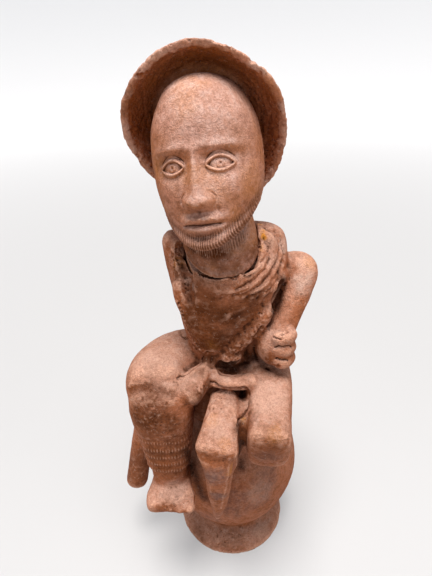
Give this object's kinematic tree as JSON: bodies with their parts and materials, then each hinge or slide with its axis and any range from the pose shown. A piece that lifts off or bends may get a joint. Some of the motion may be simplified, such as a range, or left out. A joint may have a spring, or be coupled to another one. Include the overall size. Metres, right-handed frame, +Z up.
{
  "type": "terracotta seated figure on a pot-shaped stand",
  "caption": "Weathered terracotta figure with a round flaring hat and a wound collar, seated on a round-bellied pot that stands on its flared foot.",
  "frame": {"origin": "centre of the round foot's underside, on the ground", "axes": "+Z up, the figure faces -Y, and its left arm is on the +X side"},
  "size_m": [0.2124, 0.1986, 0.5508],
  "materials": {
    "head_terracotta": "matt, weathered",
    "body_terracotta": "matt, weathered"
  },
  "bodies": {
    "root": {"head_with_hat": "head_terracotta", "seated_figure_on_pot_stand": "body_terracotta"}
  },
  "joints": []
}
